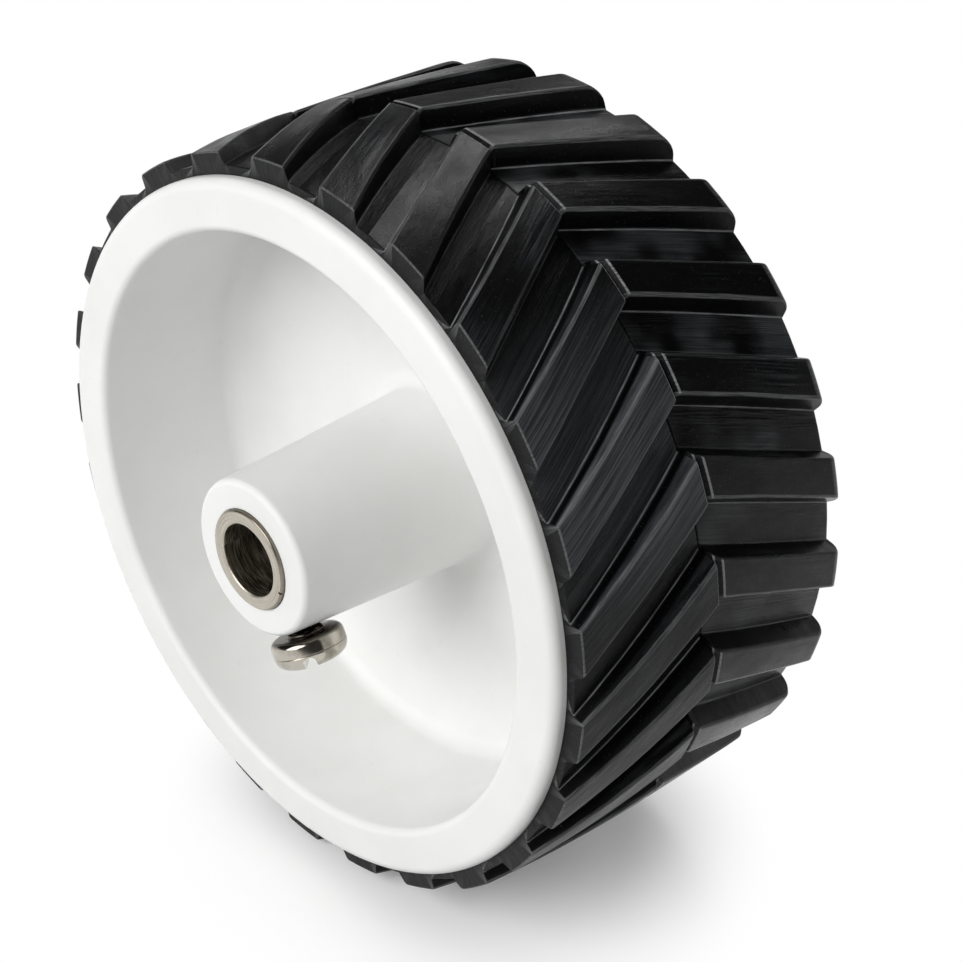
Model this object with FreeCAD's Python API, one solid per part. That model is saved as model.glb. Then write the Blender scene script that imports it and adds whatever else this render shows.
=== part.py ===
import FreeCAD, Part
import math
import os

# Robot drive wheel: a white moulded hub, a black chevron tyre, a steel shaft bush and a clamp screw.
# Millimetres. The origin is the wheel's centre, the axle lies along Y and the boss points to -Y.

# Tyre
TREAD_DIAMETER = 100.0
TYRE_WIDTH = 44.4
PARTING_OFFSET = -1.0
LUG_HEIGHT = 2.8
LUG_COUNT = 25
LUG_TOP_WIDTH = 4.9
LUG_FLANK_ANGLE = 32.0
LUG_ROOT = 0.5
LUG_END_CHAMFER = 1.2
NEAR_SWEEP = 14.0
FAR_SWEEP = 9.8
LUG_PHASE = 50.5
FAR_PHASE_LEAD = 0.8
PARTING_CHAMFER = 0.75

# Hub
BAND_OVER_LIP = 1.2
LIP_STEP = 3.0
LIP_THICKNESS = 4.0
LIP_PROUD = 2.0
LIP_OUTER_ROUND = 1.3
LIP_INNER_CHAMFER = 0.7
RIM_WALL = 3.5
RIM_DRAFT = 1.2
WEB_THICKNESS = 3.0
WEB_SETBACK = 21.2
WEB_DISH = 4.4
WEB_CORNER_CHAMFER = 1.2
BOSS_FACE_DIAMETER = 20.7
BOSS_DRAFT = 3.2
BOSS_REACH = 6.2
BOSS_TAIL = 3.0
BOSS_EDGE_CHAMFER = 0.5

# Shaft bush
BORE_DIAMETER = 9.6
BUSH_WALL = 1.8
BUSH_PROUD = 0.5
BUSH_CHAMFER = 0.35

# Clamp screw
SCREW_DIAMETER = 5.0
SCREW_LENGTH = 6.4
SCREW_LEAN = 26.0
SCREW_INSET = 4.0
HEAD_DIAMETER = 9.5
HEAD_HEIGHT = 3.8
HEAD_EDGE_CHAMFER = 1.1
HEAD_GAP = 0.7
SLOT_WIDTH = 1.6
SLOT_DEPTH = 1.6
SLOT_TURN = 40.0
TIP_CHAMFER = 0.5

# Clearances, all radial
TYRE_SEAT_CLEARANCE = 0.05
BUSH_SEAT_CLEARANCE = 0.02
THREAD_CLEARANCE = 0.08
BOSS_HOLE_CLEARANCE = 0.35

# Values worked out from the sizes above
TREAD_R = TREAD_DIAMETER / 2
FLOOR_R = TREAD_R - LUG_HEIGHT
TYRE_HALF = TYRE_WIDTH / 2
LIP_R = FLOOR_R - BAND_OVER_LIP
SEAT_R = LIP_R - LIP_STEP
MOUTH_R = SEAT_R - RIM_WALL
LIP_Y = TYRE_HALF + LIP_PROUD
LIP_BACK_Y = LIP_Y - LIP_THICKNESS
BOSS_FACE_Y = -(LIP_Y + BOSS_REACH)
BORE_R = BORE_DIAMETER / 2
BUSH_R = BORE_R + BUSH_WALL
SCREW_R = SCREW_DIAMETER / 2 - THREAD_CLEARANCE
SCREW_Y = BOSS_FACE_Y + SCREW_INSET
RIM_SLOPE = math.tan(math.radians(RIM_DRAFT))
BOSS_SLOPE = math.tan(math.radians(BOSS_DRAFT))
WEB_WALL_Y = WEB_SETBACK - LIP_Y
WEB_BOSS_Y = WEB_WALL_Y + WEB_DISH
TAIL_Y = WEB_BOSS_Y + WEB_THICKNESS + BOSS_TAIL

AXLE = FreeCAD.Vector(0, 1, 0)
CENTRE = FreeCAD.Vector(0, 0, 0)


def boss_radius(y):
    """Outer radius of the drafted boss at a place along the axle."""
    return BOSS_FACE_DIAMETER / 2 + (y - BOSS_FACE_Y) * BOSS_SLOPE


def wall_radius(y):
    """Inner radius of the rim, which narrows with its draft from each mouth to the middle."""
    return MOUTH_R - (LIP_Y - abs(y)) * RIM_SLOPE


def turned(profile):
    """Solid of revolution about the axle from (radius, y) points."""
    points = [FreeCAD.Vector(radius, y, 0) for radius, y in profile]
    outline = Part.makePolygon(points + points[:1])
    solid = Part.Face(outline).revolve(CENTRE, AXLE, 360)
    return Part.makeSolid(solid.Shells[0])


def ring_edges(solid, radius, y):
    """Circular edges of a turned solid at one radius and one place along the axle."""
    found = []
    for edge in solid.Edges:
        curve = edge.Curve
        if not isinstance(curve, Part.Circle):
            continue
        if abs(curve.Radius - radius) < 1e-4 and abs(curve.Center.y - y) < 1e-4:
            found.append(edge)
    return found


def rounded(solid, size, rings):
    """Round the circular edges at the given (radius, y) places."""
    edges = [edge for radius, y in rings for edge in ring_edges(solid, radius, y)]
    return solid.makeFillet(size, edges)


def chamfered(solid, size, rings):
    """Chamfer the circular edges at the given (radius, y) places."""
    edges = [edge for radius, y in rings for edge in ring_edges(solid, radius, y)]
    return solid.makeChamfer(size, edges)


def screw_placed(shape):
    """Turn a shape made along +Z from the axle to the screw's direction and move it to its place."""
    shape.rotate(CENTRE, AXLE, 180 - SCREW_LEAN)
    shape.translate(FreeCAD.Vector(0, SCREW_Y, 0))
    return shape


def screw_hole(radius):
    """Radial drill from the axle out to the underside of the screw's head."""
    return screw_placed(Part.makeCylinder(radius, boss_radius(SCREW_Y) + HEAD_GAP))


def hub():
    """Rim with two lips, dished web and long drafted boss, moulded in one piece."""
    web_back_wall_y = WEB_WALL_Y + WEB_THICKNESS
    web_back_boss_y = WEB_BOSS_Y + WEB_THICKNESS
    bore_r = BUSH_R + BUSH_SEAT_CLEARANCE
    profile = [
        (bore_r, BOSS_FACE_Y),
        (boss_radius(BOSS_FACE_Y), BOSS_FACE_Y),
        (boss_radius(WEB_BOSS_Y), WEB_BOSS_Y),
        (wall_radius(WEB_WALL_Y), WEB_WALL_Y),
        (MOUTH_R, -LIP_Y),
        (LIP_R, -LIP_Y),
        (LIP_R, -LIP_BACK_Y),
        (SEAT_R, -LIP_BACK_Y),
        (SEAT_R, LIP_BACK_Y),
        (LIP_R, LIP_BACK_Y),
        (LIP_R, LIP_Y),
        (MOUTH_R, LIP_Y),
        (wall_radius(web_back_wall_y), web_back_wall_y),
        (boss_radius(WEB_BOSS_Y), web_back_boss_y),
        (boss_radius(WEB_BOSS_Y), TAIL_Y),
        (bore_r, TAIL_Y),
    ]
    body = turned(profile)
    body = rounded(body, LIP_OUTER_ROUND, [(LIP_R, -LIP_Y), (LIP_R, LIP_Y)])
    body = chamfered(body, LIP_INNER_CHAMFER, [(MOUTH_R, -LIP_Y), (MOUTH_R, LIP_Y)])
    body = chamfered(body, BOSS_EDGE_CHAMFER, [(boss_radius(BOSS_FACE_Y), BOSS_FACE_Y)])
    inner_corners = [(wall_radius(WEB_WALL_Y), WEB_WALL_Y), (boss_radius(WEB_BOSS_Y), WEB_BOSS_Y)]
    body = chamfered(body, WEB_CORNER_CHAMFER, inner_corners)
    return body.cut(screw_hole(SCREW_DIAMETER / 2 + BOSS_HOLE_CLEARANCE))


def carcass():
    """Tyre without its lugs: a band on the rim's seat with a rebate over each lip."""
    seat_r = SEAT_R + TYRE_SEAT_CLEARANCE
    over_lip_r = LIP_R + TYRE_SEAT_CLEARANCE
    shoulder_y = LIP_BACK_Y - TYRE_SEAT_CLEARANCE
    profile = [
        (seat_r, -shoulder_y),
        (over_lip_r, -shoulder_y),
        (over_lip_r, -TYRE_HALF),
        (FLOOR_R, -TYRE_HALF),
        (FLOOR_R, TYRE_HALF),
        (over_lip_r, TYRE_HALF),
        (over_lip_r, shoulder_y),
        (seat_r, shoulder_y),
    ]
    return turned(profile)


def lug_envelope(side):
    """Ring that bounds the lugs of one half: side -1 is the boss side, +1 the far side."""
    root_r = FLOOR_R - LUG_ROOT
    inner_end = [(TREAD_R, PARTING_OFFSET)]
    if side > 0:
        inner_end = [(TREAD_R - PARTING_CHAMFER, PARTING_OFFSET), (TREAD_R, PARTING_OFFSET + PARTING_CHAMFER)]
    outer_end = [
        (TREAD_R, side * (TYRE_HALF - LUG_END_CHAMFER)),
        (TREAD_R - LUG_END_CHAMFER, side * TYRE_HALF),
        (root_r, side * TYRE_HALF),
    ]
    return turned([(root_r, PARTING_OFFSET)] + inner_end + outer_end)


def lug(side, sweep, phase):
    """One slanted lug of one half: a flanked bar cut to the tread's envelope."""
    half_sweep = math.radians(sweep / 2)
    reach = TREAD_R * math.tan(half_sweep)
    flank = math.tan(math.radians(LUG_FLANK_ANGLE))
    widest = reach + LUG_TOP_WIDTH / 2 + flank * LUG_HEIGHT
    root = math.sqrt((FLOOR_R - LUG_ROOT) ** 2 - widest ** 2)
    half_top = LUG_TOP_WIDTH / 2
    half_root = half_top + (TREAD_R - root) * flank
    section = [(-half_root, root), (half_root, root), (half_top, TREAD_R), (-half_top, TREAD_R)]
    corners = [FreeCAD.Vector(across - reach, PARTING_OFFSET, out) for across, out in section]
    face = Part.Face(Part.makePolygon(corners + corners[:1]))
    bar = face.extrude(FreeCAD.Vector(2 * reach, side * TYRE_HALF - PARTING_OFFSET, 0))
    bar.rotate(CENTRE, AXLE, 90 - (phase - sweep / 2))
    return bar.common(lug_envelope(side))


def tyre():
    """Carcass with a ring of lugs on each half, meeting in a chevron at the parting."""
    halves = [lug(-1, NEAR_SWEEP, LUG_PHASE), lug(1, FAR_SWEEP, LUG_PHASE + FAR_PHASE_LEAD)]
    lugs = []
    for step in range(LUG_COUNT):
        for half in halves:
            copy = half.copy()
            copy.rotate(CENTRE, AXLE, step * 360 / LUG_COUNT)
            lugs.append(copy)
    return carcass().multiFuse(lugs).removeSplitter()


def shaft_bush():
    """Turned sleeve that takes the shaft, with a tapped hole for the clamp screw."""
    front_y = BOSS_FACE_Y - BUSH_PROUD
    profile = [
        (BORE_R, front_y + BUSH_CHAMFER),
        (BORE_R + BUSH_CHAMFER, front_y),
        (BUSH_R - BUSH_CHAMFER, front_y),
        (BUSH_R, front_y + BUSH_CHAMFER),
        (BUSH_R, TAIL_Y),
        (BORE_R + BUSH_CHAMFER, TAIL_Y),
        (BORE_R, TAIL_Y - BUSH_CHAMFER),
    ]
    return turned(profile).cut(screw_hole(SCREW_R + THREAD_CLEARANCE))


def clamp_screw():
    """Slotted round-headed screw, backed off so that its head stands clear of the boss."""
    seat = boss_radius(SCREW_Y) + HEAD_GAP
    tip = seat - SCREW_LENGTH
    head = Part.makeCylinder(HEAD_DIAMETER / 2, HEAD_HEIGHT, FreeCAD.Vector(0, 0, seat))
    rims = [edge for edge in head.Edges if isinstance(edge.Curve, Part.Circle)]
    head = head.makeChamfer(HEAD_EDGE_CHAMFER, rims)
    shank = Part.makeCylinder(SCREW_R, SCREW_LENGTH, FreeCAD.Vector(0, 0, tip))
    tip_rim = [edge for edge in shank.Edges if edge.BoundBox.ZMax < tip + TIP_CHAMFER]
    shank = shank.makeChamfer(TIP_CHAMFER, tip_rim)
    slot_corner = FreeCAD.Vector(-HEAD_DIAMETER / 2, -SLOT_WIDTH / 2, seat + HEAD_HEIGHT - SLOT_DEPTH)
    slot = Part.makeBox(HEAD_DIAMETER, SLOT_WIDTH, SLOT_DEPTH, slot_corner)
    slot.rotate(CENTRE, FreeCAD.Vector(0, 0, 1), SLOT_TURN)
    return screw_placed(head.fuse(shank).cut(slot))


os.makedirs("parts", exist_ok=True)
for name, shape in (
    ("hub", hub()),
    ("tyre", tyre()),
    ("shaft_bush", shaft_bush()),
    ("clamp_screw", clamp_screw()),
):
    shape.exportStep("parts/" + name + ".step")
    print(name, len(shape.Solids), shape.isValid(), round(shape.Volume, 1))
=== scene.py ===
"""Robot drive wheel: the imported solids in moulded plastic, tread rubber, turned nickel and plated steel."""

import logging
import math
from dataclasses import dataclass
from enum import Enum
from typing import Dict, List, Optional, Sequence, Tuple

import bmesh
import bpy
from mathutils import Matrix, Vector, noise


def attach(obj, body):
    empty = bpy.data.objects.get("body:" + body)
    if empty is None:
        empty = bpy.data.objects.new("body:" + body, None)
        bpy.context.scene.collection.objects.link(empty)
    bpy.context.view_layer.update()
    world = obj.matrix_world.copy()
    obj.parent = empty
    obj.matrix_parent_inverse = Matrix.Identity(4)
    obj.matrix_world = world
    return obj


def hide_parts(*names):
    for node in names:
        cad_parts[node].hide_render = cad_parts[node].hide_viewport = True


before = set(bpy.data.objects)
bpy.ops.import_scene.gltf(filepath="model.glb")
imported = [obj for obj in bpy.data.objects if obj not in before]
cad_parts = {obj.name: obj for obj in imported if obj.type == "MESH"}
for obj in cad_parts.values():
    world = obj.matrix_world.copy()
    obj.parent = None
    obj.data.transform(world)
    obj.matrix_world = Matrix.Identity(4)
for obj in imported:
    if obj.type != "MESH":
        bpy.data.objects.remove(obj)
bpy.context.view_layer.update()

MM = 0.001
FULL_TURN = 2 * math.pi
MERGE_MM = 1e-4
LOG = logging.getLogger("robot_wheel")
Range = Tuple[float, float]
Triple = Tuple[float, float, float]
Colour = Triple
Path = List[Triple]
Inputs = Dict[object, object]
Node = bpy.types.Node
Socket = bpy.types.NodeSocket
Thing = bpy.types.Object
Shape = bmesh.types.BMesh


class Body(Enum):
    """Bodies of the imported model."""

    WHEEL = "wheel"
    SCREW = "screw"


class Side(Enum):
    """Which way along the axle a half of the tyre lies."""

    BOSS = -1
    FAR = 1

    def pick(self, pair: Range) -> float:
        """Return this side's own of two values, the boss side's first."""
        return pair[self is Side.FAR]


class Graph:
    """Short calls that fill a node tree."""

    FIRST_COLOUR, SECOND_COLOUR, MIXED_COLOUR = 6, 7, 2
    FIRST_VALUE, SECOND_VALUE = 2, 3

    def __init__(self, tree: bpy.types.NodeTree) -> None:
        """Empty the tree and keep it."""
        self.tree = tree
        tree.nodes.clear()

    def add(self, kind: str, **settings: object) -> Node:
        """Add a node.

        Args:
            kind: Blender's name of the node type.
            settings: properties of the node to set.

        Returns:
            The new node.
        """
        node = self.tree.nodes.new(kind)
        for key, value in settings.items():
            setattr(node, key, value)
        return node

    def fill(self, node: Node, values: Inputs) -> Node:
        """Feed several inputs of a node.

        Args:
            node: the node.
            values: a socket to link or a plain value to set for each input, by its name or number.

        Returns:
            The same node.
        """
        for key, value in values.items():
            socket = node.inputs[key]
            if isinstance(value, Socket):
                self.tree.links.new(value, socket)
            else:
                socket.default_value = (*value, 1.0) if socket.type == "RGBA" else value
        return node

    def result(self, kind: str, *values: object, **settings: object) -> Socket:
        """Return the first output of a new node whose first inputs get the values in order."""
        return self.fill(self.add(kind, **settings), dict(enumerate(values))).outputs[0]

    def maths(self, operation: str, *values: object) -> Socket:
        """Return the result of a Math node."""
        return self.result("ShaderNodeMath", *values, operation=operation)

    def times(self, first: object, second: object) -> Socket:
        """Return the product of two values."""
        return self.maths("MULTIPLY", first, second)

    def stretched(self, vector: object, scale: Triple) -> Socket:
        """Return coordinates scaled apart on the three axes."""
        return self.result("ShaderNodeVectorMath", vector, scale, operation="MULTIPLY")

    def joined(self, *parts: object) -> Socket:
        """Return a vector made of its parts."""
        return self.result("ShaderNodeCombineXYZ", *parts)

    def split(self, vector: object) -> Tuple[Socket, ...]:
        """Return the three parts of a vector."""
        return tuple(self.fill(self.add("ShaderNodeSeparateXYZ"), {0: vector}).outputs)

    def place(self) -> Socket:
        """Return the object's own coordinates."""
        return self.add("ShaderNodeTexCoord").outputs["Object"]

    def from_axle(self, across: Socket, up: Socket) -> Socket:
        """Return how far a place is from the axle."""
        return self.maths("SQRT", self.maths("ADD", self.times(across, across), self.times(up, up)))

    def grain(self, vector: object, scale: float, detail: float = 3.0, rough: float = 0.55) -> Socket:
        """Return a noise, about 0.3 to 0.7: scale in waves per unit, rough for the finer octaves."""
        values = {"Vector": vector, "Scale": scale, "Detail": detail, "Roughness": rough}
        return self.fill(self.add("ShaderNodeTexNoise"), values).outputs[0]

    def spread(self, value: object, low: float, high: float, to_low: float = 0.0, to_high: float = 1.0) -> Socket:
        """Return a value mapped smoothly from one range to another, clamped."""
        values = {"Value": value, "From Min": low, "From Max": high, "To Min": to_low, "To Max": to_high}
        return self.fill(self.add("ShaderNodeMapRange", interpolation_type="SMOOTHSTEP"), values).outputs[0]

    def tint(self, factor: object, first: object, second: object) -> Socket:
        """Return a colour between two, each a socket or a plain colour."""
        values = {"Factor": factor, self.FIRST_COLOUR: first, self.SECOND_COLOUR: second}
        return self.fill(self.add("ShaderNodeMix", data_type="RGBA"), values).outputs[self.MIXED_COLOUR]

    def blend(self, factor: object, first: object, second: object) -> Socket:
        """Return a value between two values."""
        values = {0: factor, self.FIRST_VALUE: first, self.SECOND_VALUE: second}
        return self.fill(self.add("ShaderNodeMix", data_type="FLOAT"), values).outputs[0]

    def bump(self, height: object, relief: Range, under: Optional[Socket] = None) -> Socket:
        """Bump the normal.

        Args:
            height: the relief.
            relief: its strength, and its depth in metres.
            under: another bumped normal that this one lies over.

        Returns:
            The bumped normal.
        """
        values = {"Strength": relief[0], "Distance": relief[1], "Height": height}
        if under is not None:
            values["Normal"] = under
        return self.fill(self.add("ShaderNodeBump"), values).outputs[0]


class Finish:
    """Base of the finishes: a named material on one Principled shader."""

    name: str
    slot: str

    def paint(self, net: Graph) -> Inputs:
        """Return what the shader's sockets get, by name."""
        raise NotImplementedError

    def material(self) -> bpy.types.Material:
        """Make the material.

        Returns:
            The finished node material.
        """
        material = bpy.data.materials.new(self.name)
        material.use_nodes = True
        net = Graph(material.node_tree)
        shader = net.fill(net.add("ShaderNodeBsdfPrincipled"), self.paint(net))
        net.fill(net.add("ShaderNodeOutputMaterial"), {"Surface": shader.outputs[0]})
        return material


@dataclass(frozen=True)
class WhiteMoulding(Finish):
    """Satin white plastic with a faint mould grain and slow drifts in tone."""

    name: str = "white_moulding"
    slot: str = "white_plastic"
    bright: Colour = (0.845, 0.845, 0.835)
    dull: Colour = (0.79, 0.79, 0.775)
    dust_and_sheen: Colour = (0.70, 0.69, 0.67)
    dust_share: float = 0.25
    drift_scale: float = 38.0
    speckle_scale: float = 900.0
    grain_scale: float = 5200.0
    roughness: Range = (0.40, 0.50)
    drift_relief: Range = (0.10, 0.0004)
    grain_relief: Range = (0.05, 0.00005)

    def paint(self, net: Graph) -> Inputs:
        """Lay out the plastic.

        Args:
            net: the material's nodes.

        Returns:
            What the shader's sockets get, by name.
        """
        place = net.place()
        drift = net.grain(place, self.drift_scale, 4.0)
        speckle = net.grain(place, self.speckle_scale, 2.0)
        fine = net.grain(place, self.grain_scale, 2.0)
        dusty_and_sheened = net.times(net.spread(speckle, 0.66, 0.78), self.dust_share)
        tone = net.tint(net.spread(drift, 0.35, 0.68), self.bright, self.dull)
        return {
            "Base Color": net.tint(dusty_and_sheened, tone, self.dust_and_sheen),
            "Roughness": net.spread(drift, 0.3, 0.7, *self.roughness),
            "Normal": net.bump(fine, self.grain_relief, net.bump(drift, self.drift_relief)),
            "Specular IOR Level": 0.45,
            "Subsurface Weight": 0.06,
            "Subsurface Radius": (1.0, 0.9, 0.8),
            "Subsurface Scale": 0.0015,
        }


@dataclass(frozen=True)
class TreadRubber(Finish):
    """Black rubber with drawn streaks along the lugs, a satin bloom whose pale streaks are painted sheen, painted
    sheen in a band on the boss-side half and in patches on the far half's floors, and pale edges of rubbing and
    painted highlight.

    Lengths are in metres; the stretches scale the lay of a lug, which is in mm.
    """

    name: str = "tread_rubber"
    slot: str = "black_rubber"
    deep: Colour = (0.0020, 0.0021, 0.0024)
    # Tones of the pale lug-top streaks: a satin bloom and painted sheen.
    faint_bloom_sheen: Colour = (0.0110, 0.0118, 0.0130)
    strong_bloom_sheen: Colour = (0.0640, 0.0690, 0.0740)
    # Pale tone of the lug edges: rubbing and painted highlight.
    rubbed_and_highlight: Colour = (0.300, 0.305, 0.312)
    speck: Colour = (0.10, 0.10, 0.103)
    walls: Colour = (0.0085, 0.0087, 0.0090)
    # Pale tone of the painted sheen on the rubber.
    dust_and_sheen: Colour = (0.0840, 0.0890, 0.0950)
    lug_radius: Range = (0.0481, 0.0486)
    gap_radius: Range = (0.0473, 0.0476)
    end_wall: Range = (0.0220, 0.0222)
    parting: Range = (-0.0012, -0.0008)
    # Heights above the axle, in metres, of the band of painted sheen on the boss-side half.
    sheen_top: Range = (0.041, 0.028)
    sheen_foot: Range = (0.006, 0.020)
    sheen_below: float = 0.10
    seed_step: float = 23.0
    streak_stretch: Triple = (3.4, 0.10, 1.0)
    hair_stretch: Triple = (13.0, 0.30, 1.0)
    patch_stretch: Triple = (0.22, 0.10, 1.0)
    pore_scale: float = 5200.0
    speck_scale: float = 4200.0
    cloud_scale: float = 90.0
    bloom_sheen_seed: Range = (-0.10, 0.55)
    sheen_share: float = 0.7
    speck_share: float = 0.3
    roughness: Range = (0.38, 0.25)
    rubbed_gloss: float = 0.08
    patch_relief: Range = (0.35, 0.0006)
    streak_relief: Range = (0.18, 0.00010)
    hair_relief: Range = (0.08, 0.00003)
    pore_relief: Range = (0.55, 0.00006)

    def paint(self, net: Graph) -> Inputs:
        """Lay out the rubber.

        Args:
            net: the material's nodes.

        Returns:
            What the shader's sockets get, by name.
        """
        place = net.place()
        lay = net.add("ShaderNodeUVMap", uv_map=Tyre.LAY).outputs[0]
        seed = net.add("ShaderNodeAttribute", attribute_name=Tyre.SEED).outputs["Fac"]
        edge = net.add("ShaderNodeAttribute", attribute_name=Tyre.EDGE).outputs["Fac"]
        lug_across, lug_along, _ = net.split(lay)
        lug = net.joined(lug_across, lug_along, net.times(seed, self.seed_step))
        streaks = net.grain(net.stretched(lug, self.streak_stretch), 1.0, 6.0, 0.62)
        hair = net.grain(net.stretched(lug, self.hair_stretch), 1.0, 3.0, 0.6)
        patch = net.grain(net.stretched(lug, self.patch_stretch), 1.0, 3.0)
        pores = net.grain(place, self.pore_scale, 2.0)
        specks = net.spread(net.grain(place, self.speck_scale, 1.0, 0.3), 0.70, 0.78)
        cloud = net.spread(net.grain(place, self.cloud_scale, 2.0), 0.42, 0.62)
        sheen = net.times(net.spread(streaks, 0.38, 0.76), net.spread(patch, 0.38, 0.66))
        across, along, up = net.split(place)
        radius = net.from_axle(across, up)
        raised = net.spread(radius, *self.lug_radius)
        sunk = net.spread(radius, *self.gap_radius, 1.0, 0.0)
        far = net.spread(along, *self.parting)
        # Painted sheen in a band part way up the boss-side half, on its tops and floors.
        sheen_band = net.times(net.spread(up, *self.sheen_top),
                          net.spread(up, *self.sheen_foot, self.sheen_below, 1.0))
        band_sheen = net.times(net.maths("SUBTRACT", 1.0, far), sheen_band)
        # Pale lug-top streaks: bloom and painted sheen, each lug's tone at random.
        haze = net.tint(net.spread(seed, *self.bloom_sheen_seed), self.faint_bloom_sheen, self.strong_bloom_sheen)
        # Tops in that band go pale: painted sheen.
        dull = net.times(band_sheen, net.spread(streaks, 0.34, 0.70, 0.25, 0.95))
        glossy = net.tint(net.times(sheen, self.sheen_share), self.deep, haze)
        tops = net.tint(dull, glossy, self.dust_and_sheen)
        # Floors go pale in that band and in patches on the far half: painted sheen.
        dusty_and_sheened = net.maths("MAXIMUM", net.times(far, cloud), band_sheen)
        pale = net.times(net.spread(streaks, 0.34, 0.70, 0.15, 0.60), dusty_and_sheened)
        gaps = net.tint(net.times(pale, sunk), self.deep, self.dust_and_sheen)
        ends = net.spread(net.maths("ABSOLUTE", along), *self.end_wall)
        body = net.tint(ends, net.tint(raised, gaps, tops), self.walls)
        # Pale lug edges: rubbing and painted highlight lines, full on the flanks the light falls on.
        lit_and_rubbed = net.times(edge, net.spread(hair, 0.36, 0.64, 0.25, 0.9))
        dressed = net.tint(lit_and_rubbed, body, self.rubbed_and_highlight)
        rolling = net.bump(patch, self.patch_relief)
        drawn = net.bump(streaks, self.streak_relief, rolling)
        lined = net.bump(hair, self.hair_relief, drawn)
        return {
            "Base Color": net.tint(net.times(specks, self.speck_share), dressed, self.speck),
            "Roughness": net.maths("SUBTRACT", net.spread(patch, 0.35, 0.65, *self.roughness),
                                   net.times(lit_and_rubbed, self.rubbed_gloss)),
            "Normal": net.bump(pores, self.pore_relief, lined),
            "Specular IOR Level": 0.13,
        }


@dataclass(frozen=True)
class TurnedNickel(Finish):
    """Warm grey plated steel: fine rings and short scores on the face, painted shade on the rim's rounded edge and
    proud side, and drawn streaks round the bore with painted shade between them.
    """

    name: str = "turned_nickel"
    slot: str = "nickel_steel"
    light: Colour = (0.58, 0.54, 0.47)
    dark: Colour = (0.39, 0.355, 0.30)
    scored: Colour = (0.25, 0.225, 0.185)
    bore_light: Colour = (0.60, 0.54, 0.44)
    # Painted shade inside the bore.
    bore_shade: Colour = (0.10, 0.086, 0.063)
    # Painted shade on the rim's rounded edge and proud side.
    rim_tone: Colour = (0.20, 0.175, 0.135)
    bore_radius: Range = (0.00482, 0.00489)
    rim_radius: Range = (0.00630, 0.00644)
    score_share: float = 0.45
    rim_share: float = 0.8
    ring_scale: float = 9000.0
    drawn_scale: float = 3200.0
    score_scale: Range = (900.0, 26.0)
    wear_scale: float = 700.0
    roughness: Range = (0.24, 0.38)
    bore_roughness: float = 0.16
    ring_relief: Range = (0.16, 0.00002)
    bore_relief: Range = (0.55, 0.00012)

    def paint(self, net: Graph) -> Inputs:
        """Lay out the turned and drawn faces.

        Args:
            net: the material's nodes.

        Returns:
            What the shader's sockets get, by name.
        """
        place = net.place()
        across, along, up = net.split(place)
        radius = net.from_axle(across, up)
        bearing = net.maths("ARCTAN2", up, across)
        rings = net.joined(net.times(radius, self.ring_scale), along, bearing)
        drawn = net.joined(net.times(along, self.drawn_scale), bearing)
        marks = net.joined(*(net.times(*pair) for pair in zip((radius, bearing), self.score_scale)))
        lines = net.grain(rings, 1.0, 4.0, 0.6)
        nicks = net.spread(net.grain(marks, 1.0, 2.0), 0.62, 0.72)
        wear = net.grain(place, self.wear_scale, 5.0, 0.6)
        streaks = net.grain(drawn, 1.4, 5.0, 0.68)
        inside = net.spread(radius, *self.bore_radius, 1.0, 0.0)
        rim = net.spread(radius, *self.rim_radius)
        face = net.tint(net.spread(lines, 0.36, 0.68), self.light, self.dark)
        scored = net.tint(net.times(nicks, self.score_share), face, self.scored)
        # Painted shade darkens the rim.
        edged = net.tint(net.times(rim, self.rim_share), scored, self.rim_tone)
        # The bore's streaks run from painted shade to bare drawn metal.
        bore = net.tint(net.spread(streaks, 0.40, 0.68), self.bore_shade, self.bore_light)
        cut = net.bump(lines, self.ring_relief)
        return {
            "Base Color": net.tint(inside, edged, bore),
            "Roughness": net.maths("MULTIPLY_ADD", inside, self.bore_roughness,
                                   net.spread(wear, 0.3, 0.7, *self.roughness)),
            "Normal": net.bump(net.times(streaks, inside), self.bore_relief, cut),
            "Metallic": 1.0,
        }


@dataclass(frozen=True)
class PlatedSteel(Finish):
    """Bright plating with fine scratches and a warm cast, darkened on the shank and under the head as painted
    shade.
    """

    name: str = "plated_steel"
    slot: str = "bright_steel"
    light: Colour = (0.50, 0.47, 0.41)
    dark: Colour = (0.32, 0.292, 0.245)
    # Painted shade on the shank and under the head.
    shank: Colour = (0.085, 0.076, 0.062)
    axis: Triple = (0.438371, 0.0, -0.898794)
    seat: Range = (0.0113736, 0.0118736)
    haze_scale: float = 420.0
    scratch_scale: float = 1700.0
    scratch_stretch: Triple = (1.0, 4.5, 0.6)
    scratch_share: float = 0.4
    roughness: Range = (0.12, 0.18)
    scratch_roughness: float = 0.10
    scratch_relief: Range = (0.07, 0.00004)

    def paint(self, net: Graph) -> Inputs:
        """Lay out the plating.

        Args:
            net: the material's nodes.

        Returns:
            What the shader's sockets get, by name.
        """
        place = net.place()
        haze = net.grain(place, self.haze_scale, 4.0)
        scratch = net.grain(net.stretched(place, self.scratch_stretch), self.scratch_scale, 4.0, 0.65)
        marks = net.spread(scratch, 0.60, 0.74)
        tone = net.tint(net.spread(haze, 0.40, 0.72), self.light, self.dark)
        plated = net.tint(net.times(marks, self.scratch_share), tone, self.dark)
        reach = net.fill(net.add("ShaderNodeVectorMath", operation="DOT_PRODUCT"), {0: place, 1: self.axis})
        # Painted shade: the shank, the head's underside and the first half millimetre of its side go dark.
        under = net.spread(reach.outputs["Value"], *self.seat, 1.0, 0.0)
        return {
            "Base Color": net.tint(under, plated, self.shank),
            "Roughness": net.maths("ADD", net.spread(haze, 0.35, 0.7, *self.roughness),
                                   net.times(marks, self.scratch_roughness)),
            "Normal": net.bump(scratch, self.scratch_relief),
            "Metallic": 1.0,
        }


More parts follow.
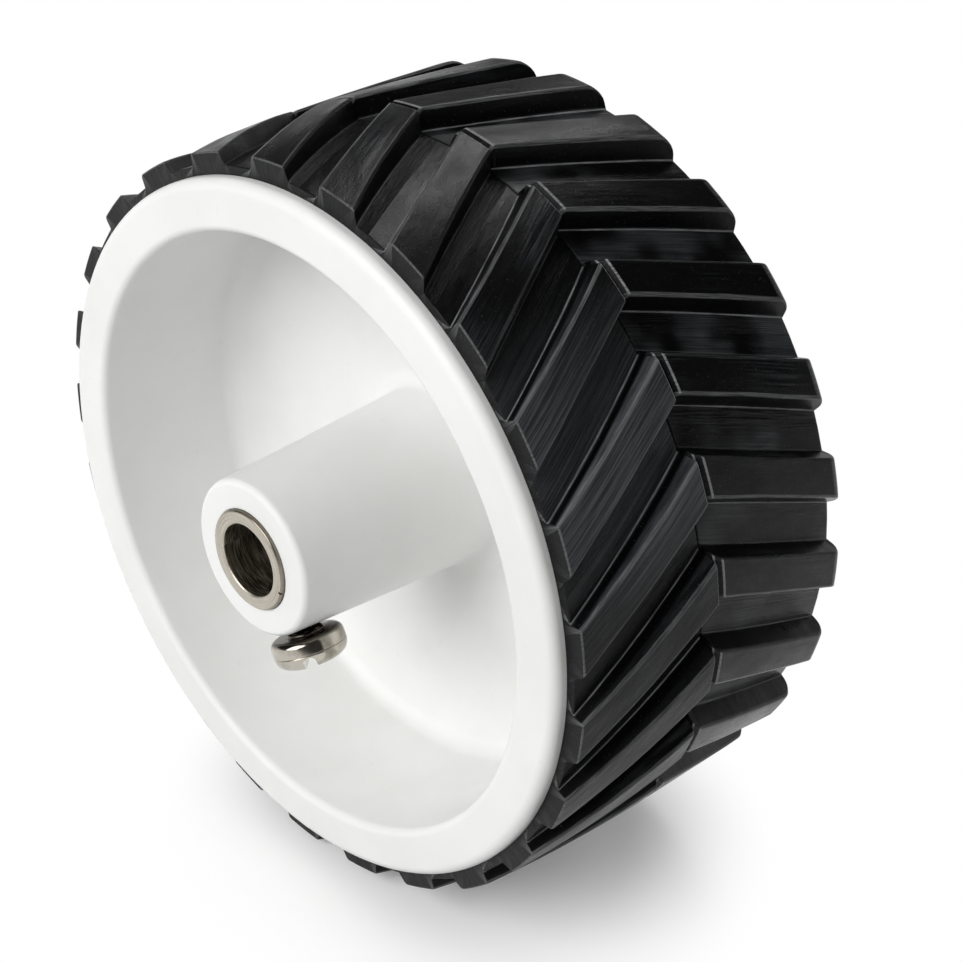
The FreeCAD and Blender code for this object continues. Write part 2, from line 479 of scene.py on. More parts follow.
@dataclass(frozen=True)
class Corner:
    """One corner of a turned outline: radius and place along the axis in mm, and the size of its round."""

    radius: float
    along: float
    soften: float = 0.0


def turned(corners: Sequence[Corner], steps: int, segments: int) -> Shape:
    """Turn a closed outline about the Y axis.

    Args:
        corners: the outline's corners in order.
        steps: divisions of the full turn.
        segments: divisions of each rounded corner.

    Returns:
        A closed mesh in mm.
    """
    bm = bmesh.new()
    verts = [bm.verts.new((corner.radius, corner.along, 0.0)) for corner in corners]
    bm.faces.new(verts)
    for vert, corner in zip(verts, corners):
        if corner.soften > 0:
            bmesh.ops.bevel(bm, geom=[vert], offset=corner.soften, offset_type="OFFSET", segments=segments,
                            profile=0.5, affect="VERTICES", clamp_overlap=True, material=-1)
    bmesh.ops.delete(bm, geom=bm.faces[:], context="FACES_ONLY")
    bmesh.ops.spin(bm, geom=bm.verts[:] + bm.edges[:], cent=(0, 0, 0), axis=(0, 1, 0), angle=FULL_TURN,
                   steps=steps, use_merge=True, use_duplicate=False)
    closed(bm)
    return bm


def closed(bm: Shape) -> None:
    """Merge doubled vertices, drop faces without area and turn the faces outwards.

    Args:
        bm: the mesh in mm.
    """
    bmesh.ops.remove_doubles(bm, verts=bm.verts[:], dist=MERGE_MM)
    bmesh.ops.dissolve_degenerate(bm, edges=bm.edges[:], dist=MERGE_MM)
    bmesh.ops.recalc_face_normals(bm, faces=bm.faces[:])


def softened(corners: Sequence[Triple], segments: int, hold: float) -> Path:
    """Round the inner corners of an open path.

    Args:
        corners: (first, second, size of round) for each corner.
        segments: divisions of each round.
        hold: distance of a plain point kept before and after each round.

    Returns:
        (first, second, 1 on a round and 0 off it) for each point of the rounded path.
    """
    path: Path = [(*corners[0][:2], 0.0)]
    for before, here, after in zip(corners, corners[1:], corners[2:]):
        corner = Vector(here[:2])
        if here[2] <= 0:
            path.append((*here[:2], 0.0))
            continue
        back = (Vector(before[:2]) - corner).normalized()
        ahead = (Vector(after[:2]) - corner).normalized()
        start, end = corner + back * here[2], corner + ahead * here[2]
        path.append((*(start + back * hold), 0.0))
        for step in range(segments + 1):
            share = step / segments
            point = start * (1 - share) ** 2 + corner * 2 * share * (1 - share) + end * share ** 2
            path.append((point.x, point.y, 1.0))
        path.append((*(end + ahead * hold), 0.0))
    path.append((*corners[-1][:2], 0.0))
    return path


@dataclass
class Piece:
    """Base of the sub-assemblies: a mesh in mm that stands for one node and rides one body."""

    node: str = ""
    body: Body = Body.WHEEL
    sharp_angle: float = 42.0
    shading_weight: int = 60

    def place(self, bm: Shape, finish: Finish, cutters: Sequence[Shape] = ()) -> Thing:
        """Make the object, cut it and hand it to the frame.

        Args:
            bm: the mesh in mm, freed here.
            finish: what it is dressed in.
            cutters: meshes in mm that are cut out of it, freed here.

        Returns:
            The finished object.
        """
        piece = self.as_object(self.node + "_dressed", bm)
        for cutter in cutters:
            self.cut(piece, cutter)
        piece.data.materials.append(finish.material())
        piece.data.shade_smooth()
        piece.data.set_sharp_from_angle(angle=math.radians(self.sharp_angle))
        even = piece.modifiers.new("even_shading", "WEIGHTED_NORMAL")
        even.keep_sharp = True
        even.weight = self.shading_weight
        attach(piece, self.body.value)
        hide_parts(self.node)
        LOG.info("%s: %d faces", piece.name, len(piece.data.polygons))
        return piece

    @staticmethod
    def as_object(name: str, bm: Shape) -> Thing:
        """Turn a mesh in mm into an object in metres at the origin.

        Args:
            name: the object's name.
            bm: the mesh in mm, freed here.

        Returns:
            The object, linked to the scene.
        """
        bmesh.ops.scale(bm, vec=(MM, MM, MM), verts=bm.verts[:])
        mesh = bpy.data.meshes.new(name)
        bm.to_mesh(mesh)
        bm.free()
        piece = bpy.data.objects.new(name, mesh)
        bpy.context.scene.collection.objects.link(piece)
        return piece

    @classmethod
    def cut(cls, piece: Thing, cutter: Shape) -> None:
        """Cut one mesh out of a piece for good.

        Args:
            piece: the object that loses material.
            cutter: the mesh in mm that is cut away, freed here.
        """
        tool = cls.as_object("cutter", cutter)
        knife = piece.modifiers.new("knife", "BOOLEAN")
        knife.operation = "DIFFERENCE"
        knife.solver = "EXACT"
        knife.object = tool
        state = bpy.context.evaluated_depsgraph_get()
        carved = bpy.data.meshes.new_from_object(piece.evaluated_get(state))
        piece.modifiers.remove(knife)
        whole = piece.data
        piece.data = carved
        bpy.data.meshes.remove(whole)
        carved.name = piece.name
        tool_mesh = tool.data
        bpy.data.objects.remove(tool)
        bpy.data.meshes.remove(tool_mesh)


@dataclass
class ScrewPlace:
    """Where the clamp screw sits: its direction, slot and distances from the axle, in mm and degrees."""

    along_axle: float = -26.4
    lean: float = 26.0
    slot_turn: float = 40.0
    seat: float = 11.2736
    boss_hole: float = 2.85
    tapped_hole: float = 2.5
    drill_past: float = 1.0
    drill_sides: int = 48

    def matrix(self) -> Matrix:
        """Work out the placement of the screw.

        Returns:
            The matrix that takes +Y to the screw's direction and +X to its slot.
        """
        lean, turn = math.radians(self.lean), math.radians(self.slot_turn)
        out = Vector((math.sin(lean), 0.0, -math.cos(lean)))
        level = Vector((math.cos(lean), 0.0, math.sin(lean)))
        slot = level * math.cos(turn) + Vector((0.0, -1.0, 0.0)) * math.sin(turn)
        turned_axes = Matrix((slot, out, slot.cross(out))).transposed().to_4x4()
        return Matrix.Translation((0.0, self.along_axle, 0.0)) @ turned_axes

    def drill(self, radius: float) -> Shape:
        """Make a round cutter from the axle out past the boss.

        Args:
            radius: the hole's radius in mm.

        Returns:
            The cutter in mm.
        """
        bm = bmesh.new()
        length = self.seat + self.drill_past
        bmesh.ops.create_cone(bm, cap_ends=True, segments=self.drill_sides, radius1=radius, radius2=radius,
                              depth=length)
        outwards = self.matrix() @ Matrix.Translation((0, length / 2, 0))
        stand = Matrix.Rotation(-math.pi / 2, 4, "X")
        bmesh.ops.transform(bm, matrix=outwards @ stand, verts=bm.verts[:])
        return bm


@dataclass
class Hub(Piece):
    """White moulding: rim with two lips, dished web and long drafted boss. Sizes in mm."""

    node: str = "hub"
    lip_radius: float = 46.0
    lip_along: float = 24.2
    lip_back: float = 20.2
    seat_radius: float = 43.0
    mouth_radius: float = 39.5
    rim_slope: float = math.tan(math.radians(1.2))
    web_front_wall: float = -3.0
    web_dish: float = 4.4
    web_thickness: float = 3.0
    boss_face: float = -30.4
    boss_face_radius: float = 10.35
    boss_slope: float = math.tan(math.radians(3.2))
    tail: float = 7.4
    bore_radius: float = 6.62
    bore_round: float = 0.18
    boss_face_round: float = 0.8
    boss_root_round: float = 2.4
    wall_round: float = 2.0
    mouth_round: float = 1.0
    lip_round: float = 1.4
    lip_back_round: float = 0.2
    tail_root_round: float = 1.4
    tail_round: float = 0.6
    steps: int = 192
    segments: int = 7

    def wall(self, along: float) -> float:
        """Return the rim's inner radius at a place along the axle."""
        return self.mouth_radius - (self.lip_along - abs(along)) * self.rim_slope

    def build(self, screw: ScrewPlace) -> Thing:
        """Turn the hub, drill it for the screw and dress it.

        Args:
            screw: where the screw sits.

        Returns:
            The finished hub.
        """
        web_front_boss = self.web_front_wall + self.web_dish
        web_back_wall = self.web_front_wall + self.web_thickness
        web_back_boss = web_front_boss + self.web_thickness
        boss_root = self.boss_face_radius + (web_front_boss - self.boss_face) * self.boss_slope
        lip = [
            (self.mouth_radius, self.lip_along, self.mouth_round),
            (self.lip_radius, self.lip_along, self.lip_round),
            (self.lip_radius, self.lip_back, self.lip_back_round),
            (self.seat_radius, self.lip_back, 0.0),
        ]
        outline = [
            Corner(self.bore_radius, self.boss_face, self.bore_round),
            Corner(self.boss_face_radius, self.boss_face, self.boss_face_round),
            Corner(boss_root, web_front_boss, self.boss_root_round),
            Corner(self.wall(self.web_front_wall), self.web_front_wall, self.wall_round),
            *(Corner(radius, -along, soften) for radius, along, soften in lip),
            *(Corner(*corner) for corner in reversed(lip)),
            Corner(self.wall(web_back_wall), web_back_wall, self.wall_round),
            Corner(boss_root, web_back_boss, self.tail_root_round),
            Corner(boss_root, self.tail, self.tail_round),
            Corner(self.bore_radius, self.tail, self.bore_round),
        ]
        hub = turned(outline, self.steps, self.segments)
        return self.place(hub, WhiteMoulding(), [screw.drill(screw.boss_hole)])


@dataclass
class ShaftBush(Piece):
    """Turned sleeve in the boss, slightly proud of it. Sizes in mm and degrees."""

    node: str = "shaft_bush"
    bore_radius: float = 4.8
    outer_radius: float = 6.6
    front: float = -30.9
    tail: float = 7.4
    edge: float = 0.30
    tail_edge: float = 0.1
    tick_angle: float = -17.0
    tick_size: Triple = (0.9, 0.7, 0.34)
    steps: int = 128
    segments: int = 4

    def tick(self) -> Shape:
        """Make the cutter of the small nick in the rim.

        Returns:
            The cutter in mm.
        """
        bm = bmesh.new()
        bmesh.ops.create_cube(bm, size=1.0)
        turn = Matrix.Rotation(-math.radians(self.tick_angle), 4, "Y")
        spot = Matrix.Translation((self.outer_radius, self.front, 0.0))
        bmesh.ops.transform(bm, matrix=turn @ spot @ Matrix.Diagonal((*self.tick_size, 1.0)), verts=bm.verts[:])
        return bm

    def build(self, screw: ScrewPlace) -> Thing:
        """Turn the sleeve, tap it for the screw and dress it.

        Args:
            screw: where the screw sits.

        Returns:
            The finished bush.
        """
        outline = [
            Corner(self.bore_radius, self.front, self.edge),
            Corner(self.outer_radius, self.front, self.edge),
            Corner(self.outer_radius, self.tail, self.tail_edge),
            Corner(self.bore_radius, self.tail, self.edge),
        ]
        bush = turned(outline, self.steps, self.segments)
        return self.place(bush, TurnedNickel(), [screw.drill(screw.tapped_hole), self.tick()])


@dataclass
class ClampScrew(Piece):
    """Slotted round-headed screw with a rolled thread, made along +Y from the axle. Sizes in mm."""

    node: str = "clamp_screw"
    body: Body = Body.SCREW
    sharp_angle: float = 38.0
    shank_radius: float = 2.42
    shank_length: float = 6.4
    tip_chamfer: float = 0.4
    head_radius: float = 4.75
    head_height: float = 3.8
    head_round: float = 1.6
    head_draft: float = 0.12
    seat_round: float = 0.9
    seat_draft: float = 0.05
    seam: float = 0.07
    seam_round: float = 0.03
    seam_share: float = 0.52
    slot_width: float = 1.6
    slot_depth: float = 1.6
    slot_round: float = 0.7
    slot_segments: int = 4
    thread_pitch: float = 0.8
    thread_depth: float = 0.36
    thread_start: float = 0.3
    thread_rings: int = 72
    plain_end: float = 0.5
    skin: float = 0.05
    steps: int = 96
    segments: int = 9

    def slot(self, screw: ScrewPlace) -> Shape:
        """Make the cutter of the slot across the head.

        Args:
            screw: where the screw sits.

        Returns:
            The cutter in mm.
        """
        bm = bmesh.new()
        bmesh.ops.create_cube(bm, size=1.0)
        low_edges = [edge for edge in bm.edges if all(vert.co.y < 0 for vert in edge.verts)]
        long_edges = [edge for edge in low_edges if edge.verts[0].co.x != edge.verts[1].co.x]
        size = Matrix.Diagonal((3 * self.head_radius, 2 * self.slot_depth, self.slot_width, 1.0))
        top = Matrix.Translation((0.0, screw.seat + self.head_height, 0.0))
        bmesh.ops.transform(bm, matrix=top @ size, verts=bm.verts[:])
        bmesh.ops.bevel(bm, geom=long_edges, offset=self.slot_round, offset_type="OFFSET",
                        segments=self.slot_segments, profile=0.5, affect="EDGES", clamp_overlap=True, material=-1)
        bmesh.ops.transform(bm, matrix=screw.matrix(), verts=bm.verts[:])
        return bm

    def roll_thread(self, bm: Shape, seat: float) -> None:
        """Press a helical thread into the shank, running out at both ends.

        Args:
            bm: the turned screw in mm.
            seat: how far the underside of the head is from the axle.
        """
        tip = seat - self.shank_length
        for vert in bm.verts:
            radius = math.hypot(vert.co.x, vert.co.z)
            if vert.co.y > seat - self.skin or radius < self.shank_radius - self.skin:
                continue
            turn = math.atan2(vert.co.z, vert.co.x) / FULL_TURN
            wave = abs(((vert.co.y / self.thread_pitch - turn) % 1.0) * 2 - 1)
            run_out = min(1.0, (vert.co.y - tip - self.thread_start) / self.plain_end,
                          (seat - vert.co.y) / self.plain_end)
            share = (radius - self.thread_depth * wave * max(0.0, run_out)) / radius
            vert.co.x *= share
            vert.co.z *= share

    def build(self, screw: ScrewPlace) -> Thing:
        """Turn the screw, roll its thread, cut its slot and dress it.

        Args:
            screw: where the screw sits.

        Returns:
            The finished screw.
        """
        seat, middle = screw.seat, screw.seat + self.head_height * self.seam_share
        top, tip = seat + self.head_height, seat - self.shank_length
        start, length = tip + self.tip_chamfer, self.shank_length - self.tip_chamfer
        outline = [Corner(0.0, tip), Corner(self.shank_radius - self.tip_chamfer, tip)]
        for ring in range(self.thread_rings):
            outline.append(Corner(self.shank_radius, start + length * ring / self.thread_rings))
        outline += [
            Corner(self.shank_radius, seat),
            Corner(self.head_radius - self.seat_draft, seat, self.seat_round),
            Corner(self.head_radius, middle - self.seam, self.seam_round),
            Corner(self.head_radius - self.seam, middle),
            Corner(self.head_radius, middle + self.seam, self.seam_round),
            Corner(self.head_radius - self.head_draft, top, self.head_round),
            Corner(0.0, top),
        ]
        bm = turned(outline, self.steps, self.segments)
        self.roll_thread(bm, seat)
        bmesh.ops.transform(bm, matrix=screw.matrix(), verts=bm.verts[:])
        return self.place(bm, PlatedSteel(), [self.slot(screw)])


@dataclass
class Tyre(Piece):
    """Rubber band with chevron lugs in two halves either side of a parting slit. Sizes in mm and degrees."""

    LAY = "lug_lay"
    SEED = "lug_seed"
    EDGE = "lug_edge"
    ACROSS = "lay_across"
    ALONG = "lay_along"

    node: str = "tyre"
    sharp_angle: float = 50.0
    tread_radius: float = 50.0
    floor_radius: float = 47.2
    half_width: float = 22.2
    parting: float = -1.0
    lug_count: int = 25
    top_width: float = 4.9
    flank: float = math.tan(math.radians(16.0))
    flank_passes: int = 4
    sweep: Range = (14.0, 9.8)
    phase: float = 50.5
    lead: Range = (0.0, 0.8)
    end_chamfer: float = 1.2
    crown: float = 1.5
    parting_chamfer: Range = (0.14, 0.75)
    parting_round: float = 0.12
    slit_half: float = 0.10
    slit_depth: float = 0.7
    seat_radius: float = 43.05
    lip_radius: float = 46.05
    shoulder: float = 20.15
    top_round: float = 0.34
    foot_round: float = 0.10
    end_round: Range = (0.16, 0.70)
    hold: float = 0.07
    hold_limit: float = 0.1
    round_limit: float = 0.2
    side_limit: float = 0.3
    floor_edge_round: float = 0.16
    # Strengths of the pale lug edges, rubbing and painted highlight: top, foot, the flank away from the light, and
    # the outer ends.
    top_edge_pale: float = 0.36
    foot_edge_pale: float = 0.80
    shaded_side_share: float = 0.20
    end_edge: Range = (0.45, 0.16)
    edge_band: float = 0.15
    edge_height: float = 1.0
    flat_below: float = 0.02
    waver: float = 0.08
    waver_above: float = 0.1
    dent_share: float = 0.25
    # Lean of the streak tone towards the boss-side half: painted sheen.
    near_sheen_lean: float = 0.10
    top_columns: int = 2
    round_columns: int = 3
    foot_columns: int = 2
    floor_columns: int = 1
    hold_columns: int = 5
    top_rows: int = 10
    round_rows: int = 3

    def columns(self) -> int:
        """Return the number of mesh columns across one pitch."""
        across = self.top_columns + self.round_columns + self.foot_columns + self.floor_columns
        return 2 * (across + self.hold_columns)

    def rows(self, side: Side) -> Path:
        """Lay out the mesh rows of one half, from the seat to the slit.

        Args:
            side: which half.

        Returns:
            (place along the axle, highest radius, strength of a rounded edge's pale line, rubbing and painted
            highlight) of each row.
        """
        way = side.value
        end = way * self.half_width
        wall = self.parting + way * self.slit_half
        chamfer, end_round, end_edge = map(side.pick, (self.parting_chamfer, self.end_round, self.end_edge))
        inner_round = min(self.parting_round, chamfer * self.side_limit)
        slit_floor = self.floor_radius - self.slit_depth
        outer = [
            (self.parting, self.seat_radius, 0.0),
            (way * self.shoulder, self.seat_radius, 0.0),
            (way * self.shoulder, self.lip_radius, 0.0),
            (end, self.lip_radius, 0.0),
            (end, self.tread_radius - self.end_chamfer, end_round),
        ]
        if side is Side.FAR:
            outer.append((end - way * self.end_chamfer, self.tread_radius, end_round))
        inner = [
            (wall + way * chamfer, self.tread_radius, inner_round),
            (wall, self.tread_radius - chamfer, inner_round),
            (wall, slit_floor, 0.0),
            (self.parting, slit_floor, 0.0),
        ]
        start, stop = outer[-1][0], inner[0][0]
        drop = self.tread_radius - outer[-1][1]
        top = []
        for step in range(1, self.top_rows):
            share = step / self.top_rows
            height = self.tread_radius - drop * (1 - share) ** self.crown
            top.append((start + (stop - start) * share, height, 0.0))
        path = softened(outer + top + inner, self.round_rows, min(self.hold, chamfer * self.round_limit))
        middle = self.half_width / 2
        return [(along, radius, edge * (end_edge if abs(along) > middle else 1.0)) for along, radius, edge in path]

    def floor(self, along: float) -> float:
        """Find the floor between lugs, which is rounded off towards the tyre's side and the slit.

        Args:
            along: place along the axle.

        Returns:
            The floor's radius there.
        """
        to_side = self.half_width - abs(along)
        to_slit = abs(along - self.parting) - self.slit_half
        near = max(0.0, min(to_side, to_slit, self.floor_edge_round))
        square = self.floor_edge_round ** 2 - (self.floor_edge_round - near) ** 2
        return self.floor_radius - (self.floor_edge_round - math.sqrt(max(0.0, square)))

    def flank_at(self, middle: float, radius: float, sign: int) -> float:
        """Find how far across a flank is at one radius.

        Args:
            middle: how far across the lug's middle is.
            radius: distance from the axle.
            sign: which flank, 1 or -1.

        Returns:
            The distance across.
        """
        across = middle
        for _ in range(self.flank_passes):
            height = math.sqrt(radius ** 2 - across ** 2)
            across = middle + sign * (self.top_width / 2 + (self.tread_radius - height) * self.flank)
        return across

    def half_section(self, middle: float, top: float, floor: float, sign: int, lit_and_rubbed: bool) -> Path:
        """Draw a row from the middle of a lug's top down to the middle of the floor beside it.

        Args:
            middle: how far across the lug's middle is.
            top: radius of the lug's top.
            floor: radius of the floor.
            sign: which flank, 1 or -1.
            lit_and_rubbed: whether that flank's edges get the full pale line, rubbing and painted highlight on the
                flank the light falls on.

        Returns:
            (across, radius, edge) of each column.
        """
        bearing = math.asin(middle / self.tread_radius)
        shoulder = self.flank_at(middle, top, sign)
        foot = self.flank_at(middle, floor, sign)
        last = floor * math.sin(bearing + sign * math.pi / self.lug_count)
        height = top - floor
        top_round = min(self.top_round, height * self.round_limit)
        foot_round = min(self.foot_round, height * self.round_limit, abs(last - foot) * self.side_limit)
        hold = min(self.hold, height * self.hold_limit)
        edge = [(middle, top, 0.0), (shoulder, top, top_round), (foot, floor, 0.0)]
        root = [(shoulder, top, 0.0), (foot, floor, foot_round), (last, floor, 0.0)]
        arc = softened(edge, self.round_columns, hold)
        toe = softened(root, self.foot_columns, hold)
        lead = [(middle + (arc[1][0] - middle) * step / self.top_columns, top, 0.0)
                for step in range(self.top_columns)]
        start = toe[-2][0]
        tail = [(start + (last - start) * step / self.floor_columns, floor, 0.0)
                for step in range(1, self.floor_columns + 1)]
        # Painted highlight: the flank the light falls on gets the full pale edge, the other a small share.
        share = 1.0 if lit_and_rubbed else self.shaded_side_share
        shoulder_path = [(*point[:2], point[2] * share * self.top_edge_pale) for point in arc[1:-1]]
        toe_path = [(*point[:2], point[2] * share * self.foot_edge_pale) for point in toe[1:-1]]
        return lead + shoulder_path + toe_path + tail

    def section(self, middle: float, along: float, top: float, side: Side) -> Path:
        """Draw one row across a whole pitch.

        Args:
            middle: how far across the lug's middle is.
            along: the row's place along the axle.
            top: the row's highest radius.
            side: which half.

        Returns:
            (across, radius, edge) of each column.
        """
        floor = self.floor(along)
        count = self.columns()
        if top <= floor + self.flat_below:
            bearing = math.asin(middle / self.tread_radius)
            pitch = FULL_TURN / self.lug_count
            return [(top * math.sin(bearing + (column / count - 0.5) * pitch), top, 0.0)
                    for column in range(count + 1)]
        right = self.half_section(middle, top, floor, 1, side is Side.FAR)
        left = self.half_section(middle, top, floor, -1, side is Side.BOSS)
        return left[:0:-1] + right

    def shape_half(self, bm: Shape, side: Side, layers: Tuple) -> None:
        """Wrap a flat grid into one half of the tyre.

        Args:
            bm: the mesh that gets the half.
            side: which half.
            layers: vertex layers of the lug's seed, its edge and its lay across and along.
        """
        seed, edge, across_layer, along_layer = layers
        rows = self.rows(side)
        count = self.columns()
        wide, deep = count * self.lug_count, len(rows) - 1
        grid = bmesh.ops.create_grid(bm, x_segments=wide, y_segments=deep, size=1.0)["verts"]
        sweep = side.pick(self.sweep)
        phase = self.phase + side.pick(self.lead)
        centre = math.radians(phase - sweep / 2)
        shared = math.radians(self.phase)
        reach = self.tread_radius * math.tan(math.radians(sweep / 2))
        span = side.value * self.half_width - self.parting
        sections = []
        for along, top, _ in rows:
            middle = reach * (2 * (along - self.parting) / span - 1)
            sections.append((middle, self.section(middle, along, top, side)))
        for vert in grid:
            index = round((vert.co.x + 1) / 2 * wide)
            row = round((vert.co.y + 1) / 2 * deep)
            lug, column = divmod(index, count)
            lug = lug % self.lug_count
            along, top, row_edge = rows[row]
            middle, section = sections[row]
            across, radius, column_edge = section[column]
            turn = math.asin(across / radius)
            if row in (0, deep):
                turn = (column / count - 0.5) * FULL_TURN / self.lug_count + centre - shared
            elif radius - self.floor_radius > self.waver_above:
                # The steps in the noise only have to keep the lugs from looking alike.
                swing = noise.noise(Vector((along * 0.16, lug * 5.17 + side.value, column * 0.11)))
                dent = noise.noise(Vector((along * 0.22, lug * 3.3, 8.0 + column * 0.05)))
                turn += self.waver * swing / radius
                radius -= self.waver * self.dent_share * (1 + dent)
            bearing = centre - turn - lug * FULL_TURN / self.lug_count
            raised = top > self.floor_radius + self.edge_height
            on_top = radius > top - self.edge_band
            # Each lug's streak tone is random; its lean to the boss-side half is painted sheen.
            luck = noise.noise(Vector((lug * 7.31 + 0.5, side.value * 3.7, 1.3)))
            vert[seed] = luck - self.near_sheen_lean * side.value
            # The edge layer carries the pale lug edges: rubbing and painted highlight.
            vert[edge] = max(column_edge, row_edge if on_top else 0.0) if raised else 0.0
            vert[across_layer] = across - middle
            vert[along_layer] = along
            vert.co = (radius * math.cos(bearing), along, radius * math.sin(bearing))

    def build(self) -> Thing:
        """Shape both halves, join them at the seat and the slit, lay the streaks' map and dress the tyre.

        Returns:
            The finished tyre.
        """
        bm = bmesh.new()
        floats = bm.verts.layers.float
        layers = tuple(floats.new(name) for name in (self.SEED, self.EDGE, self.ACROSS, self.ALONG))
        for side in Side:
            self.shape_half(bm, side, layers)
        closed(bm)
        lay = bm.loops.layers.uv.new(self.LAY)
        across_layer, along_layer = floats[self.ACROSS], floats[self.ALONG]
        for face in bm.faces:
            for loop in face.loops:
                loop[lay].uv = (loop.vert[across_layer], loop.vert[along_layer])
        for name in (self.ACROSS, self.ALONG):
            floats.remove(floats[name])
        return self.place(bm, TreadRubber())


@dataclass(frozen=True)
class Lamp:
    """One soft box: where it hangs, how wide it is, how much light it gives and whether gloss shows it."""

    name: str
    at: Triple
    width: float
    height: float
    watts: float
    mirrored: bool = True

    def hang(self) -> None:
        """Make the lamp and turn it to the wheel."""
        light = bpy.data.lights.new(self.name, "AREA")
        light.shape = "RECTANGLE"
        light.size = self.width
        light.size_y = self.height
        light.energy = self.watts
        lamp = bpy.data.objects.new(self.name, light)
        lamp.visible_glossy = self.mirrored
        lamp.location = self.at
        lamp.rotation_euler = (-Vector(self.at)).to_track_quat("-Z", "Y").to_euler()
        bpy.context.scene.collection.objects.link(lamp)


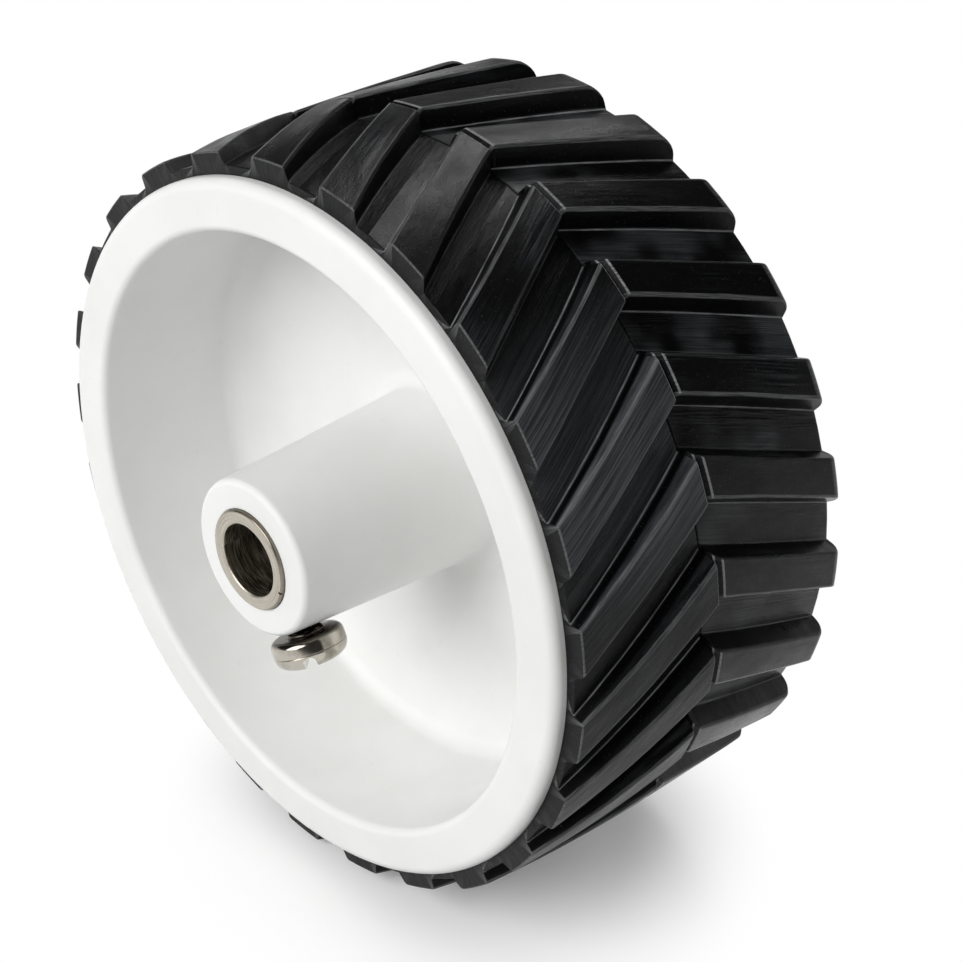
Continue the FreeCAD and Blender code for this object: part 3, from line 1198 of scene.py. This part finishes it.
@dataclass
class Studio:
    """Pale floor, white surround, soft lamps and the photograph's camera. Sizes in metres and degrees."""

    floor_height: float = -0.05
    floor_size: float = 6.0
    floor_tone: Colour = (0.54, 0.54, 0.54)
    floor_light: float = 0.91
    shade_centre: Range = (0.008, -0.003)
    shade_size: Range = (0.026, 0.023)
    shade_fade: Range = (0.9, 1.80)
    sky: Colour = (1.0, 1.0, 1.0)
    ambient: float = 0.376
    dimming: Range = (-0.01, 0.17)
    overhead: float = 0.04
    azimuth: float = 46.365
    elevation: float = 30.247
    distance: float = 0.28308
    aim: Triple = (0.0, 0.006938, 0.0)
    shift_right: float = 0.001141
    shift_up: float = -0.003392
    lens: float = 79.86
    sensor: float = 36.0
    clip: Range = (0.01, 20.0)
    soft_boxes: Tuple[Lamp, ...] = (
        Lamp("key", (-0.16, -1.30, 0.78), 1.15, 1.15, 18.3),
        Lamp("front", (0.22, -0.64, 0.46), 0.20, 0.20, 0.40),
        Lamp("fill", (0.05, 1.20, 0.12), 0.70, 0.70, 9.0, False),
        Lamp("back", (-0.28, 0.44, 0.53), 0.24, 0.18, 1.05),
    )

    @staticmethod
    def rays(net: Graph) -> Tuple[Socket, Socket]:
        """Return 1 for rays straight from the camera, and 1 for those off a gloss or through a clear surface."""
        path = net.add("ShaderNodeLightPath").outputs
        return path["Is Camera Ray"], net.maths("MAXIMUM", path["Is Glossy Ray"], path["Is Transmission Ray"])

    def floor_finish(self) -> bpy.types.Material:
        """Make the white floor: what light the wheel takes from it is taken from the white.

        Returns:
            The floor's material.
        """
        material = bpy.data.materials.new("white_floor")
        material.use_nodes = True
        net = Graph(material.node_tree)
        centre, size = (*self.shade_centre, 0.0), (*(1.0 / width for width in self.shade_size), 0.0)
        moved = net.result("ShaderNodeVectorMath", net.place(), centre, operation="SUBTRACT")
        away = net.fill(net.add("ShaderNodeVectorMath", operation="LENGTH"), {0: net.stretched(moved, size)})
        keep = net.spread(away.outputs["Value"], *self.shade_fade, 1.0, 0.0)
        matt = net.result("ShaderNodeBsdfDiffuse", self.floor_tone)
        shaded = net.result("ShaderNodeBsdfDiffuse", keep)
        glow = {"Strength": net.maths("MULTIPLY_ADD", keep, -self.floor_light, 1.0)}
        white = net.fill(net.add("ShaderNodeEmission"), glow).outputs[0]
        shown = net.result("ShaderNodeAddShader", white, shaded)
        seen = net.maths("MAXIMUM", *self.rays(net))
        either = net.result("ShaderNodeMixShader", seen, matt, shown)
        net.fill(net.add("ShaderNodeOutputMaterial"), {"Surface": either})
        return material

    def floor(self) -> None:
        """Lay the floor under the wheel."""
        bm = bmesh.new()
        bmesh.ops.create_grid(bm, x_segments=2, y_segments=2, size=self.floor_size / 2)
        bmesh.ops.translate(bm, vec=(0, 0, self.floor_height), verts=bm.verts[:])
        mesh = bpy.data.meshes.new("floor")
        bm.to_mesh(mesh)
        bm.free()
        mesh.materials.append(self.floor_finish())
        floor = bpy.data.objects.new("floor", mesh)
        bpy.context.scene.collection.objects.link(floor)

    def surround(self) -> None:
        """Set the world: white where it is seen, white to dim overhead where mirrored, soft in the shading."""
        world = bpy.data.worlds.new("studio")
        bpy.context.scene.world = world
        world.use_nodes = True
        net = Graph(world.node_tree)
        straight, mirrored = self.rays(net)
        height = net.split(net.add("ShaderNodeTexCoord").outputs["Generated"])[2]
        overhead = net.spread(height, *self.dimming, 1.0, self.overhead)
        unseen = net.blend(mirrored, self.ambient, overhead)
        strength = net.blend(straight, unseen, 1.0)
        sky = net.result("ShaderNodeBackground", self.sky, strength)
        net.fill(net.add("ShaderNodeOutputWorld"), {"Surface": sky})

    def camera(self) -> None:
        """Set the camera where the photograph was taken from."""
        turn, lift = math.radians(self.azimuth), math.radians(self.elevation)
        right = Vector((math.cos(turn), math.sin(turn), 0.0))
        back = Vector((math.sin(turn) * math.cos(lift), -math.cos(turn) * math.cos(lift), math.sin(lift)))
        up = back.cross(right)
        data = bpy.data.cameras.new("photo_camera")
        data.sensor_width = self.sensor
        data.lens = self.lens
        data.clip_start, data.clip_end = self.clip
        camera = bpy.data.objects.new("photo_camera", data)
        spot = Vector(self.aim) + right * self.shift_right + up * self.shift_up + back * self.distance
        camera.matrix_world = Matrix.Translation(spot) @ Matrix((right, up, back)).transposed().to_4x4()
        bpy.context.scene.collection.objects.link(camera)
        bpy.context.scene.camera = camera

    def build(self) -> None:
        """Set up the whole studio."""
        self.floor()
        self.surround()
        for box in self.soft_boxes:
            box.hang()
        self.camera()
        bpy.context.scene.view_settings.view_transform = "Standard"


def main() -> None:
    """Build the pieces in order."""
    logging.basicConfig(level=logging.INFO, format="%(name)s %(message)s")
    screw = ScrewPlace()
    pieces = [
        Hub().build(screw),
        Tyre().build(),
        ShaftBush().build(screw),
        ClampScrew().build(screw),
    ]
    Studio().build()
    LOG.info("pieces: %s", ", ".join(piece.name for piece in pieces))


if __name__ == "__main__":
    main()
